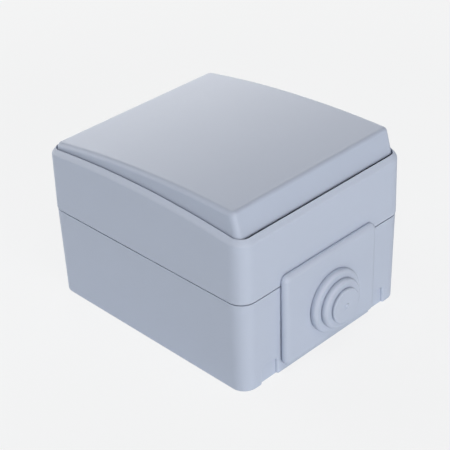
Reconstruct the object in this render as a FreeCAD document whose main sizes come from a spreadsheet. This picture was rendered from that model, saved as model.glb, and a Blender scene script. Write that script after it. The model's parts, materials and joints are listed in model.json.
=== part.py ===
# A surface-mounted, one-gang weatherproof rocker switch, lying on its wall face.
# The origin is the centre of the wall face, +Z points away from the wall, and the cable comes in at -Y.
# Lengths are millimetres and angles degrees.
import FreeCAD
import Part
import Sketcher
import math
import os
from types import SimpleNamespace

Vector = FreeCAD.Vector

DIMENSIONS = {
    # Box and cover, measured at the joint between them
    "box_width": 59.1,
    "box_length": 70.0,
    "corner_radius": 4.4,
    "parting_height": 25.8,
    "seam_gap": 0.3,
    "seam_step": 0.1,
    "base_draft": 0.75,
    "base_wall": 2.2,
    "floor_thickness": 2.4,
    "foot_edge": 0.4,
    "cover_draft": 0.7,
    "cover_wall": 2.0,
    "rim_height": 45.15,
    "rim_drop": 2.1,
    "rim_inset": 1.4,
    "bevel_height": 1.3,
    "tray_height": 35.0,
    "tray_thickness": 2.0,
    # Pry recesses at the back edge of the entry side
    "recess_start": 17.6,
    "recess_width": 5.3,
    "recess_height": 5.1,
    "recess_depth": 0.75,
    "recess_corner": 1.2,
    "recess_edge": 0.6,
    # Screws, posts and wall holes
    "screw_radius": 1.5,
    "screw_clearance": 0.05,
    "head_radius": 2.8,
    "head_height": 2.0,
    "drive_width": 0.9,
    "drive_share": 0.7,
    "drive_depth": 1.1,
    "post_radius": 3.5,
    "post_margin": 1.4,
    "plate_screw_length": 10.0,
    "cover_screw_length": 22.0,
    "pilot_spare": 2.0,
    "screw_seal_height": 0.8,
    "wall_hole_inset": 7.4,
    "wall_hole_radius": 2.4,
    "knockout_skin": 0.6,
    "collar_radius": 5.0,
    "collar_height": 1.5,
    # Seals
    "gasket_width": 1.1,
    "gasket_depth": 2.0,
    "gasket_clearance": 0.05,
    "window_seal_width": 2.0,
    # Cable grommet
    "entry_height": 14.6,
    "entry_half_width": 14.6,
    "entry_low": 5.6,
    "grommet_clearance": 0.1,
    "plate_half_width": 16.8,
    "plate_low": 2.6,
    "plate_high": 28.9,
    "plate_proud": 2.0,
    "plate_corner": 1.8,
    "plate_edge": 0.45,
    "flange_half_width": 16.2,
    "flange_low": 3.8,
    "flange_high": 27.6,
    "flange_thickness": 1.5,
    "step_one_radius": 8.5,
    "step_one_height": 1.8,
    "step_two_radius": 6.65,
    "step_two_height": 1.7,
    "step_three_radius": 4.7,
    "step_three_height": 1.0,
    "step_edge": 0.9,
    "step_three_edge": 0.35,
    "membrane": 1.3,
    "pip_radius": 0.7,
    "pip_height": 0.3,
    "pip_edge": 0.24,
    # Rocker, measured from its pivot in the middle of its travel
    "pivot_rise": 3.0,
    "rocker_tilt": 4.1,
    "rocker_gap": 0.3,
    "swing_gap": 0.6,
    "skirt_low": 2.2,
    "skirt_height": 0.4,
    "rocker_end_height": 9.05,
    "rocker_crown": 1.6,
    "end_lean": 1.3,
    "side_lean": 0.1,
    "rocker_corner": 1.7,
    "rocker_edge": 1.3,
    "rocker_wall": 1.8,
    "rib_offset": 17.0,
    "rib_thickness": 1.2,
    "rib_depth": 2.2,
    "rib_inset": 4.9,
    "clip_width": 8.0,
    "clip_thickness": 1.5,
    "clip_hook": 1.0,
    "clip_clearance": 0.2,
    # Dolly and plunger
    "dolly_half_length": 9.0,
    "dolly_half_width": 9.0,
    "dolly_flange_low": 4.0,
    "hub_radius": 4.2,
    "hub_half_width": 8.8,
    "trunnion_radius": 2.0,
    "running_clearance": 0.06,
    "ear_gap": 0.4,
    "ear_thickness": 3.2,
    "ear_half_width": 4.5,
    "ear_margin": 3.2,
    "stem_radius": 4.0,
    "stem_length": 11.5,
    "stem_clearance": 0.5,
    "bore_top": 1.0,
    "plunger_radius": 2.0,
    "plunger_length": 10.5,
    "plunger_gap": 0.1,
    "spring_wire": 0.5,
    "spring_turns": 5.0,
    # Switch insert
    "support_height": 21.0,
    "support_thickness": 1.2,
    "support_margin": 1.4,
    "support_overlap": 3.0,
    "insert_half_width": 15.5,
    "insert_front": 20.5,
    "insert_low": 9.0,
    "insert_high": 27.0,
    "insert_wall": 1.8,
    "insert_floor": 2.4,
    "insert_flange": 1.5,
    "insert_flange_height": 1.8,
    "insert_clearance": 0.2,
    "lid_thickness": 2.0,
    # Contacts and terminals
    "strip_thickness": 1.0,
    "strip_width": 5.0,
    "contact_pivot": 20.6,
    "contact_tilt": 5.0,
    "blade_rise": 1.5,
    "blade_thickness": 0.8,
    "blade_width": 6.0,
    "tip_offset": 9.0,
    "tip_radius": 1.6,
    "tip_height": 0.9,
    "contact_gap": 0.1,
    "knife_half_width": 0.5,
    "knife_nose": 0.25,
    "terminal_offset": 8.0,
    "terminal_clearance": 0.4,
    "clamp_size": 5.6,
    "clamp_height": 8.0,
    "wire_radius": 1.4,
    "wire_height": 2.8,
    "terminal_head_radius": 2.4,
    "terminal_head_lift": 0.7,
    # How far a cut's profile stands past what it cuts
    "overcut": 1.0,
}
TOLERANCE = 0.01

doc = FreeCAD.newDocument("WeatherproofSwitch")
sheet = doc.addObject("Spreadsheet::Sheet", "dims")
for row, (alias, value) in enumerate(DIMENSIONS.items(), start=1):
    sheet.set(f"A{row}", alias)
    sheet.set(f"B{row}", str(value))
    sheet.setAlias(f"B{row}", alias)
doc.recompute()


class Size:
    """A length or angle: its value now, and the expression that gives it from the sheet."""

    def __init__(self, value, text):
        self.value = value
        self.text = text

    def __add__(self, other):
        return Size(self.value + number(other), f"({self.text} + {words(other)})")

    def __radd__(self, other):
        return Size(other + self.value, f"({other} + {self.text})")

    def __sub__(self, other):
        return Size(self.value - number(other), f"({self.text} - {words(other)})")

    def __rsub__(self, other):
        return Size(other - self.value, f"({other} - {self.text})")

    def __mul__(self, other):
        return Size(self.value * number(other), f"({self.text} * {words(other)})")

    __rmul__ = __mul__

    def __truediv__(self, other):
        return Size(self.value / number(other), f"({self.text} / {words(other)})")

    def __neg__(self):
        return Size(-self.value, f"(-1 * {self.text})")


def number(size):
    return size.value if isinstance(size, Size) else size


def words(size):
    return size.text if isinstance(size, Size) else str(size)


def sine(angle):
    return Size(math.sin(math.radians(angle.value)), f"sin({angle.text} * 1 deg)")


def cosine(angle):
    return Size(math.cos(math.radians(angle.value)), f"cos({angle.text} * 1 deg)")


def slope(angle):
    return Size(math.tan(math.radians(angle.value)), f"tan({angle.text} * 1 deg)")


def arc_angle(rise, run):
    return Size(math.degrees(math.atan2(rise.value, run.value)), f"(atan({rise.text} / {run.text}) / 1 deg)")


dim = SimpleNamespace(**{alias: Size(sheet.get(alias), f"dims.{alias}") for alias in DIMENSIONS})

# Levels and outlines that several pieces share
base_top = dim.parting_height - dim.seam_gap / 2
cover_low = dim.parting_height + dim.seam_gap / 2
base_width = dim.box_width - 2 * dim.seam_step
base_length = dim.box_length - 2 * dim.seam_step
cavity_width = base_width - 2 * dim.base_wall
cavity_length = base_length - 2 * dim.base_wall
cavity_corner = dim.corner_radius - dim.base_wall
well_width = dim.box_width - 2 * dim.rim_inset
well_length = dim.box_length - 2 * dim.rim_inset
tray_low = dim.tray_height - dim.tray_thickness
support_top = dim.support_height + dim.support_thickness
strip_low = dim.insert_low + dim.insert_floor
strip_top = strip_low + dim.strip_thickness
lid_top = dim.insert_high + dim.lid_thickness
ear_inner = dim.hub_half_width + dim.ear_gap
ear_outer = ear_inner + dim.ear_thickness
window_half_width = ear_outer + dim.stem_clearance
window_half_length = dim.ear_half_width + 4 * dim.stem_clearance
ceiling_end = dim.rocker_end_height - dim.rocker_wall
ceiling_middle = ceiling_end + dim.rocker_crown
bore_radius = dim.plunger_radius + dim.running_clearance
hole_radius = dim.screw_radius + dim.screw_clearance
pivot_height = dim.tray_height + dim.pivot_rise
post_x = cavity_width / 2 - dim.post_margin - dim.post_radius
post_y = cavity_length / 2 - dim.post_margin - dim.post_radius
cover_posts = [(-post_x, post_y), (post_x, -post_y)]
plate_posts = [(-post_x, 0), (post_x, 0)]
hole_x = cavity_width / 2 - dim.wall_hole_inset
hole_y = cavity_length / 2 - dim.wall_hole_inset
wall_holes = [(-hole_x, -hole_y), (hole_x, hole_y)]
blade_length = dim.tip_offset + dim.tip_radius
insert_rear = dim.tip_offset + dim.strip_width / 2 + dim.terminal_clearance + dim.insert_wall
terminal_front = dim.insert_front - dim.insert_wall - dim.terminal_clearance - dim.clamp_size / 2
terminal_places = [(-dim.terminal_offset, -terminal_front), (dim.terminal_offset, -terminal_front)]

pieces = []


# Sketches and features
def bind(item, prop, size):
    item.setExpression(prop, words(size))


def new_body(label):
    body = doc.addObject("PartDesign::Body", label)
    body.Label = label
    pieces.append(body)
    return body


def sketch_on(body, role, offset=0, shift=(0, 0)):
    """A sketch on an origin plane of its body, moved along the plane's normal and within the plane."""
    sketch = body.newObject("Sketcher::SketchObject", "Sketch")
    plane = next(item for item in body.Origin.OriginFeatures if item.Role == role)
    sketch.AttachmentSupport = [(plane, "")]
    sketch.MapMode = "FlatFace"
    bind(sketch, "AttachmentOffset.Base.x", shift[0])
    bind(sketch, "AttachmentOffset.Base.y", shift[1])
    bind(sketch, "AttachmentOffset.Base.z", offset)
    return sketch


def measure(sketch, kind, places, size):
    """A measured constraint, bound to the size that gives it."""
    index = sketch.addConstraint(Sketcher.Constraint(kind, *places, number(size)))
    if isinstance(size, Size):
        sketch.setExpression(f"Constraints[{index}]", size.text)


def rectangle(sketch, low_x, low_y, high_x, high_y):
    outline(sketch, [(low_x, low_y), (high_x, low_y), (high_x, high_y), (low_x, high_y)])


def outline(sketch, points):
    """A closed profile, counter-clockwise. A third entry bows the side after a point outwards."""
    first = sketch.GeometryCount
    count = len(points)
    places = [Vector(number(point[0]), number(point[1]), 0) for point in points]
    starts = []
    for index, point in enumerate(points):
        begin = places[index]
        end = places[(index + 1) % count]
        if len(point) == 2:
            sketch.addGeometry(Part.LineSegment(begin, end), False)
            starts.append((1, 2))
        else:
            along = end - begin
            bow = Vector(along.y, -along.x, 0).normalize() * number(point[2])
            sketch.addGeometry(Part.Arc(begin, (begin + end) / 2 + bow, end), False)
            starts.append((1, 2) if number(point[2]) > 0 else (2, 1))
    for index, point in enumerate(points):
        following = (index + 1) % count
        sketch.addConstraint(Sketcher.Constraint(
            "Coincident", first + index, starts[index][1], first + following, starts[following][0]))
        measure(sketch, "DistanceX", (-1, 1, first + index, starts[index][0]), point[0])
        measure(sketch, "DistanceY", (-1, 1, first + index, starts[index][0]), point[1])
        if len(point) == 3:
            run = points[following][0] - point[0]
            climb = points[following][1] - point[1]
            rise = point[2] if number(point[2]) > 0 else -point[2]
            radius = ((run * run + climb * climb) / 4 + rise * rise) / (2 * rise)
            measure(sketch, "Radius", (first + index,), radius)


def rounded_rectangle(sketch, width, length, radius, middle=(0, 0)):
    """A rectangle with four equal corner arcs round a middle point."""
    first = sketch.GeometryCount
    x, y = number(width) / 2, number(length) / 2
    r = number(radius)
    centre = Vector(number(middle[0]), number(middle[1]), 0)
    sides = [(Vector(-x + r, -y, 0), Vector(x - r, -y, 0)), (Vector(x, -y + r, 0), Vector(x, y - r, 0)),
             (Vector(x - r, y, 0), Vector(-x + r, y, 0)), (Vector(-x, y - r, 0), Vector(-x, -y + r, 0))]
    corners = [Vector(x - r, -y + r, 0), Vector(x - r, y - r, 0),
               Vector(-x + r, y - r, 0), Vector(-x + r, -y + r, 0)]
    for begin, end in sides:
        sketch.addGeometry(Part.LineSegment(centre + begin, centre + end), False)
    for index, corner in enumerate(corners):
        circle = Part.Circle(centre + corner, Vector(0, 0, 1), r)
        start = (index - 1) * math.pi / 2
        sketch.addGeometry(Part.ArcOfCircle(circle, start, start + math.pi / 2), False)
    for index in range(4):
        corner = first + 4 + index
        sketch.addConstraint(Sketcher.Constraint("Tangent", first + index, 2, corner, 1))
        sketch.addConstraint(Sketcher.Constraint("Tangent", corner, 2, first + (index + 1) % 4, 1))
        sketch.addConstraint(Sketcher.Constraint("Vertical" if index % 2 else "Horizontal", first + index))
        if index:
            sketch.addConstraint(Sketcher.Constraint("Equal", first + 4, corner))
    measure(sketch, "Radius", (first + 4,), radius)
    measure(sketch, "DistanceX", (first + 3, 1, first + 1, 1), width)
    measure(sketch, "DistanceY", (first, 1, first + 2, 1), length)
    measure(sketch, "DistanceX", (-1, 1, first + 1, 1), width / 2 + middle[0])
    measure(sketch, "DistanceY", (-1, 1, first + 2, 1), length / 2 + middle[1])


def circles(sketch, places, radius):
    for place in places:
        index = sketch.addGeometry(Part.Circle(Vector(number(place[0]), number(place[1]), 0),
                                               Vector(0, 0, 1), number(radius)), False)
        measure(sketch, "Radius", (index,), radius)
        measure(sketch, "DistanceX", (-1, 1, index, 3), place[0])
        measure(sketch, "DistanceY", (-1, 1, index, 3), place[1])


def pad(body, sketch, length, symmetric=False, reverse=False, taper=0):
    feature = body.newObject("PartDesign::Pad", "Pad")
    feature.Profile = sketch
    feature.SideType = "Symmetric" if symmetric else "One side"
    feature.Reversed = reverse
    bind(feature, "Length", length)
    bind(feature, "TaperAngle", taper)
    doc.recompute()
    return feature


def pocket(body, sketch, depth=None, symmetric=False, reverse=False):
    """A cut against the sketch's normal, or along it when reversed; with no depth it goes right through."""
    before = body.Shape.Volume
    feature = body.newObject("PartDesign::Pocket", "Pocket")
    feature.Profile = sketch
    feature.SideType = "Symmetric" if symmetric else "One side"
    feature.Reversed = reverse
    if depth is None:
        feature.Type = "ThroughAll"
    else:
        bind(feature, "Length", depth)
    doc.recompute()
    if not body.Shape.Volume < before:
        raise RuntimeError(f"A cut in {body.Label} removes nothing")
    return feature


def revolve(body, sketch, axis):
    feature = body.newObject("PartDesign::Revolution", "Revolution")
    feature.Profile = sketch
    feature.ReferenceAxis = (sketch, [axis])
    doc.recompute()
    return feature


def edges_where(shape, test):
    return [f"Edge{index}" for index, edge in enumerate(shape.Edges, start=1) if test(edge)]


def fillet(body, base, edges, radius):
    feature = body.newObject("PartDesign::Fillet", "Fillet")
    feature.Base = (base, edges)
    bind(feature, "Radius", radius)
    doc.recompute()
    return feature


def arched_edges(shape):
    """The edges round the one wide arched face of a crowned shell."""
    arch = next(face for face in shape.Faces
                if isinstance(face.Surface, Part.Cylinder) and face.Surface.Radius > number(dim.box_length))
    return edges_where(shape, lambda edge: any(edge.isSame(side) for side in arch.Edges))


def tilt_about_pivot(item, height, angle):
    """Stand a piece that is modelled round its pivot at that height, turned about X."""
    item.Placement = FreeCAD.Placement(Vector(0, 0, 0), FreeCAD.Rotation(Vector(1, 0, 0), 1))
    bind(item, "Placement.Base.z", height)
    item.setExpression("Placement.Rotation.Angle", f"{words(angle)} * 1 deg")


# Primitives, for turned and cut pieces
def cylinder(place, radius, height, along_y=False):
    item = doc.addObject("Part::Cylinder", "Cylinder")
    if along_y:
        item.Placement = FreeCAD.Placement(Vector(0, 0, 0), FreeCAD.Rotation(Vector(1, 0, 0), -90))
    bind(item, "Radius", radius)
    bind(item, "Height", height)
    for axis, size in zip("xyz", place):
        bind(item, f"Placement.Base.{axis}", size)
    return item


def block(low, high):
    item = doc.addObject("Part::Box", "Box")
    for prop, axis, start, end in zip(("Length", "Width", "Height"), "xyz", low, high):
        bind(item, prop, end - start)
        bind(item, f"Placement.Base.{axis}", start)
    return item


def fuse(parts):
    item = doc.addObject("Part::MultiFuse", "Fuse")
    item.Shapes = parts
    return item


def cut(base, tools):
    item = doc.addObject("Part::Cut", "Cut")
    item.Base = base
    item.Tool = fuse(tools) if len(tools) > 1 else tools[0]
    return item


def group(label, members):
    """One node of separate, like solids."""
    item = doc.addObject("Part::Compound", label)
    item.Label = label
    item.Links = members
    pieces.append(item)
    return item


def screw(place, seat, head_radius, length):
    """A cross-drive screw whose head sits on the seat, with its shank below."""
    x, y = place
    head = cylinder((x, y, seat), head_radius, dim.head_height)
    shank = cylinder((x, y, seat - length), dim.screw_radius, length)
    reach = head_radius * dim.drive_share
    half = dim.drive_width / 2
    low = seat + dim.head_height - dim.drive_depth
    high = seat + dim.head_height + dim.drive_depth
    slots = [block((x - reach, y - half, low), (x + reach, y + half, high)),
             block((x - half, y - reach, low), (x + half, y + reach, high))]
    return cut(fuse([head, shank]), slots)


# Wall box
def base_box():
    body = new_body("base_box")
    wall = sketch_on(body, "XY_Plane", base_top)
    rounded_rectangle(wall, base_width, base_length, dim.corner_radius)
    shell = pad(body, wall, base_top, reverse=True, taper=-dim.base_draft)
    foot = edges_where(shell.Shape, lambda edge: edge.BoundBox.ZMax < number(dim.foot_edge))
    fillet(body, shell, foot, dim.foot_edge)
    cavity = sketch_on(body, "XY_Plane", base_top)
    rounded_rectangle(cavity, cavity_width, cavity_length, cavity_corner)
    pocket(body, cavity, base_top - dim.floor_thickness)
    rebate = sketch_on(body, "XY_Plane", base_top)
    rounded_rectangle(rebate, cavity_width + 2 * dim.gasket_width, cavity_length + 2 * dim.gasket_width,
                      cavity_corner + dim.gasket_width)
    pocket(body, rebate, dim.gasket_depth)
    for places, radius, top in ((plate_posts, dim.post_radius, dim.support_height),
                                (cover_posts, dim.post_radius, cover_low),
                                (wall_holes, dim.collar_radius, dim.floor_thickness + dim.collar_height)):
        posts = sketch_on(body, "XY_Plane", dim.floor_thickness / 2)
        circles(posts, places, radius)
        pad(body, posts, top - dim.floor_thickness / 2)
    plate_screw_depth = dim.plate_screw_length - dim.support_thickness
    for places, top, length in ((plate_posts, dim.support_height, plate_screw_depth),
                                (cover_posts, cover_low, cover_screw_depth())):
        pilots = sketch_on(body, "XY_Plane", top)
        circles(pilots, places, hole_radius)
        pocket(body, pilots, length + dim.pilot_spare)
    knockouts = sketch_on(body, "XY_Plane")
    circles(knockouts, wall_holes, dim.wall_hole_radius)
    pocket(body, knockouts, dim.floor_thickness + dim.collar_height - dim.knockout_skin, reverse=True)
    outside = dim.box_length / 2 + dim.overcut
    entry = sketch_on(body, "XZ_Plane", outside)
    rectangle(entry, -dim.entry_half_width, dim.entry_low, dim.entry_half_width, base_top + dim.overcut)
    pocket(body, entry, outside - cavity_length / 2 + dim.base_wall / 2)
    foot_half_length = base_length / 2 - base_top * slope(dim.base_draft)
    recesses = sketch_on(body, "XZ_Plane", outside)
    recess_middle = dim.recess_start + dim.recess_width / 2
    for side in (-1, 1):
        rounded_rectangle(recesses, dim.recess_width, 2 * dim.recess_height, dim.recess_corner,
                          (side * recess_middle, 0))
    cuts = pocket(body, recesses, outside - foot_half_length + dim.recess_depth)
    ends = edges_where(cuts.Shape, is_recess_end)
    fillet(body, cuts, ends, dim.recess_edge)


def is_recess_end(edge):
    """Whether an edge is the upright outer edge of a recess, on the side of the box's corner."""
    box = edge.BoundBox
    end = number(dim.recess_start + dim.recess_width)
    outer = number(dim.box_length / 2 - dim.recess_depth)
    near_end = abs(max(abs(box.XMin), abs(box.XMax)) - end) < TOLERANCE and box.XLength < TOLERANCE
    return near_end and box.YMin < -outer and box.ZMax < number(dim.recess_height)


def cover_screw_depth():
    """How far a cover screw reaches into its post."""
    return dim.cover_screw_length - dim.screw_seal_height - dim.tray_height + cover_low


# Front cover: drafted wall, arched and bevelled rim, tray under the rocker
def front_cover():
    body = new_body("front_cover")
    crest = dim.rim_height + dim.bevel_height
    bevel_run = dim.rim_inset - (dim.rim_height - cover_low) * slope(dim.cover_draft)
    wall = sketch_on(body, "XY_Plane", cover_low)
    rounded_rectangle(wall, dim.box_width, dim.box_length, dim.corner_radius)
    pad(body, wall, crest + dim.overcut - cover_low, taper=-dim.cover_draft)
    above = sketch_on(body, "YZ_Plane")
    half = dim.box_length / 2
    outline(above, [(-half, crest - dim.rim_drop, -dim.rim_drop), (half, crest - dim.rim_drop),
                    (half, crest + 2 * dim.overcut), (-half, crest + 2 * dim.overcut)])
    arch = pocket(body, above, symmetric=True)
    bevel = body.newObject("PartDesign::Chamfer", "Bevel")
    bevel.Base = (arch, arched_edges(arch.Shape))
    bevel.ChamferType = "Two distances"
    bind(bevel, "Size", 2 * dim.bevel_height)
    bind(bevel, "Size2", 2 * bevel_run)
    doc.recompute()
    well = sketch_on(body, "XY_Plane", crest + dim.overcut)
    rounded_rectangle(well, well_width, well_length, dim.corner_radius - dim.rim_inset)
    pocket(body, well, crest + dim.overcut - dim.tray_height)
    inside = sketch_on(body, "XY_Plane", cover_low)
    rounded_rectangle(inside, dim.box_width - 2 * dim.cover_wall, dim.box_length - 2 * dim.cover_wall,
                      dim.corner_radius - dim.cover_wall)
    pocket(body, inside, tray_low - cover_low, reverse=True)
    tubes = sketch_on(body, "XY_Plane", cover_low)
    circles(tubes, cover_posts, dim.post_radius)
    pad(body, tubes, tray_low + dim.tray_thickness / 2 - cover_low)
    openings = sketch_on(body, "XY_Plane", dim.tray_height)
    circles(openings, cover_posts, hole_radius)
    rounded_rectangle(openings, 2 * window_half_width, 2 * window_half_length, dim.window_seal_width / 2)
    pocket(body, openings)


# Seals
def cover_gasket():
    body = new_body("cover_gasket")
    low = base_top - dim.gasket_depth
    outer_width = cavity_width + 2 * (dim.gasket_width - dim.gasket_clearance)
    outer_length = cavity_length + 2 * (dim.gasket_width - dim.gasket_clearance)
    ring = sketch_on(body, "XY_Plane", low)
    outer_corner = cavity_corner + dim.gasket_width - dim.gasket_clearance
    rounded_rectangle(ring, outer_width, outer_length, outer_corner)
    rounded_rectangle(ring, cavity_width, cavity_length, cavity_corner)
    pad(body, ring, cover_low - low)
    gap = sketch_on(body, "XZ_Plane", dim.box_length / 2)
    rectangle(gap, -dim.entry_half_width, low - dim.overcut, dim.entry_half_width, cover_low + dim.overcut)
    pocket(body, gap, dim.box_length / 2 - cavity_length / 2 + dim.base_wall)


def window_seal():
    body = new_body("window_seal")
    ring = sketch_on(body, "XY_Plane", lid_top)
    corner = dim.window_seal_width / 2
    rounded_rectangle(ring, 2 * (window_half_width + dim.window_seal_width),
                      2 * (window_half_length + dim.window_seal_width), corner + dim.window_seal_width)
    rounded_rectangle(ring, 2 * window_half_width, 2 * window_half_length, corner)
    pad(body, ring, tray_low - lid_top)


def screw_seals():
    rings = [cut(cylinder((x, y, dim.tray_height), dim.head_radius, dim.screw_seal_height),
                 [cylinder((x, y, dim.tray_height), hole_radius, dim.screw_seal_height)])
             for x, y in cover_posts]
    group("screw_seals", rings)


# Cable grommet: plate outside, flange inside, the box wall between them, and three rounded steps
def cable_grommet():
    body = new_body("cable_grommet")
    back = dim.box_length / 2 + dim.grommet_clearance
    inner = cavity_length / 2 - 3 * dim.grommet_clearance
    front = back + dim.plate_proud
    middle = (0, (dim.plate_low + dim.plate_high) / 2)
    plate = sketch_on(body, "XZ_Plane", back)
    rounded_rectangle(plate, 2 * dim.plate_half_width, dim.plate_high - dim.plate_low,
                      dim.plate_corner, middle)
    panel = pad(body, plate, dim.plate_proud)
    rim = edges_where(panel.Shape, lambda edge: edge.BoundBox.YMax < TOLERANCE - number(front))
    fillet(body, panel, rim, dim.plate_edge)
    neck = sketch_on(body, "XZ_Plane", inner)
    half = dim.entry_half_width - dim.grommet_clearance
    rectangle(neck, -half, dim.entry_low + dim.grommet_clearance, half, cover_low - dim.grommet_clearance)
    pad(body, neck, back - inner + dim.plate_proud / 2)
    flange = sketch_on(body, "XZ_Plane", inner)
    rectangle(flange, -dim.flange_half_width, dim.flange_low, dim.flange_half_width, dim.flange_high)
    pad(body, flange, dim.flange_thickness, reverse=True)
    one = front + dim.step_one_height
    two = one + dim.step_two_height
    three = two + dim.step_three_height
    steps = sketch_on(body, "YZ_Plane", 0, (0, dim.entry_height))
    outline(steps, [(-three, 0), (-back, 0), (-back, dim.step_one_radius), (-one, dim.step_one_radius),
                    (-one, dim.step_two_radius), (-two, dim.step_two_radius), (-two, dim.step_three_radius),
                    (-three, dim.step_three_radius)])
    turned = revolve(body, steps, "H_Axis")
    rings = ((dim.step_one_radius, one), (dim.step_two_radius, two))
    lips = edges_where(turned.Shape, lambda edge: any(is_step_lip(edge, *ring) for ring in rings))
    rounded = fillet(body, turned, lips, dim.step_edge)
    tip = edges_where(rounded.Shape, lambda edge: is_step_lip(edge, dim.step_three_radius, three))
    fillet(body, rounded, tip, dim.step_three_edge)
    pip = sketch_on(body, "XZ_Plane", three - dim.pip_height, (0, dim.entry_height))
    circles(pip, [(0, 0)], dim.pip_radius)
    dot = pad(body, pip, 2 * dim.pip_height)
    pip_middle = number(three) + number(dim.pip_height) / 2
    crown = edges_where(dot.Shape, lambda edge: edge.BoundBox.YMax < -pip_middle)
    fillet(body, dot, crown, dim.pip_edge)
    hollow = sketch_on(body, "YZ_Plane", 0, (0, dim.entry_height))
    deep = inner - dim.flange_thickness - dim.overcut
    outline(hollow, [(-three + dim.membrane, 0), (-deep, 0), (-deep, dim.step_one_radius - dim.membrane),
                     (-one + dim.membrane, dim.step_one_radius - dim.membrane),
                     (-one + dim.membrane, dim.step_two_radius - dim.membrane),
                     (-two + dim.membrane, dim.step_two_radius - dim.membrane),
                     (-two + dim.membrane, dim.step_three_radius - dim.membrane),
                     (-three + dim.membrane, dim.step_three_radius - dim.membrane)])
    groove = body.newObject("PartDesign::Groove", "Hollow")
    groove.Profile = hollow
    groove.ReferenceAxis = (hollow, ["H_Axis"])
    doc.recompute()


def is_step_lip(edge, radius, front):
    """Whether an edge is the outer circle at the front of a step of the grommet."""
    if not isinstance(edge.Curve, Part.Circle):
        return False
    return (abs(edge.Curve.Radius - radius.value) < TOLERANCE
            and abs(edge.Curve.Center.y + front.value) < TOLERANCE)


# Rocker, modelled round its pivot
def rocker():
    body = new_body("rocker")
    width = well_width - 2 * dim.rocker_gap
    length = well_length - 2 * dim.swing_gap
    skirt_top = dim.skirt_low + dim.skirt_height
    crest = dim.rocker_end_height + dim.rocker_crown + dim.overcut
    lean = (crest - skirt_top) / (dim.rocker_end_height - skirt_top)
    end_half = length / 2 - dim.end_lean
    skirt = sketch_on(body, "XY_Plane", dim.skirt_low)
    rounded_rectangle(skirt, width, length, dim.rocker_corner)
    pad(body, skirt, dim.skirt_height)
    low = sketch_on(body, "XY_Plane", skirt_top)
    rounded_rectangle(low, width, length, dim.rocker_corner)
    high = sketch_on(body, "XY_Plane", crest)
    rounded_rectangle(high, width - 2 * dim.side_lean * lean, length - 2 * dim.end_lean * lean,
                      dim.rocker_corner)
    loft = body.newObject("PartDesign::AdditiveLoft", "Loft")
    loft.Profile = low
    loft.Sections = [high]
    loft.Ruled = True
    doc.recompute()
    above = sketch_on(body, "YZ_Plane")
    outline(above, [(-end_half, dim.rocker_end_height, -dim.rocker_crown), (end_half, dim.rocker_end_height),
                    (length / 2, dim.rocker_end_height), (length / 2, crest + dim.overcut),
                    (-length / 2, crest + dim.overcut), (-length / 2, dim.rocker_end_height)])
    arch = pocket(body, above, symmetric=True)
    fillet(body, arch, arched_edges(arch.Shape), dim.rocker_edge)
    inside = sketch_on(body, "YZ_Plane")
    foot_half = length / 2 - dim.rocker_wall
    ceiling_half = foot_half - dim.end_lean
    below = dim.skirt_low - dim.overcut
    outline(inside, [(-foot_half, below), (foot_half, below), (foot_half, skirt_top),
                     (ceiling_half, ceiling_end, dim.rocker_crown), (-ceiling_half, ceiling_end),
                     (-foot_half, skirt_top)])
    pocket(body, inside, width - 2 * dim.rocker_wall, symmetric=True)
    rib_top = ceiling_middle + dim.rocker_wall / 4
    rib_half = ceiling_half - dim.rib_inset
    for side in (-1, 1):
        rib = sketch_on(body, "YZ_Plane", side * dim.rib_offset)
        rectangle(rib, -rib_half, ceiling_end - dim.rib_depth / 2, rib_half, rib_top)
        pad(body, rib, dim.rib_thickness, symmetric=True)
    clips = sketch_on(body, "YZ_Plane")
    near = dim.dolly_half_length + dim.clip_clearance
    far = near + dim.clip_thickness
    catch = dim.dolly_flange_low - dim.clip_clearance
    hook_low = catch - dim.clip_hook
    outline(clips, [(near - dim.clip_hook, hook_low), (far, hook_low), (far, rib_top), (near, rib_top),
                    (near, catch), (near - dim.clip_hook, catch)])
    outline(clips, [(-far, hook_low), (dim.clip_hook - near, hook_low), (dim.clip_hook - near, catch),
                    (-near, catch), (-near, rib_top), (-far, rib_top)])
    pad(body, clips, dim.clip_width, symmetric=True)
    tilt_about_pivot(body, pivot_height, -dim.rocker_tilt)


# Dolly: flange that the rocker clips to, hub on trunnions, stem with the plunger's bore
def dolly():
    body = new_body("dolly")
    flange_top = ceiling_middle - dim.clip_clearance
    flange = sketch_on(body, "YZ_Plane")
    rectangle(flange, -dim.dolly_half_length, dim.dolly_flange_low, dim.dolly_half_length, flange_top)
    pad(body, flange, 2 * dim.dolly_half_width, symmetric=True)
    web = sketch_on(body, "YZ_Plane")
    rectangle(web, -dim.hub_radius, 0, dim.hub_radius, dim.dolly_flange_low)
    pad(body, web, 2 * dim.hub_half_width, symmetric=True)
    for radius, half in ((dim.hub_radius, dim.hub_half_width), (dim.trunnion_radius, ear_outer)):
        turned = sketch_on(body, "YZ_Plane")
        circles(turned, [(0, 0)], radius)
        pad(body, turned, 2 * half, symmetric=True)
    stem = sketch_on(body, "XY_Plane")
    circles(stem, [(0, 0)], dim.stem_radius)
    pad(body, stem, dim.stem_length, reverse=True)
    bore = sketch_on(body, "XY_Plane", -dim.stem_length)
    circles(bore, [(0, 0)], bore_radius)
    pocket(body, bore, dim.stem_length + dim.bore_top, reverse=True)
    tilt_about_pivot(body, pivot_height, -dim.rocker_tilt)


# Plunger: a round-nosed pin that rides on the moving contact
blade_top = dim.contact_pivot + dim.blade_thickness
plunger_tip = blade_top + dim.plunger_gap - pivot_height
plunger_top = plunger_tip + dim.plunger_length


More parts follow.
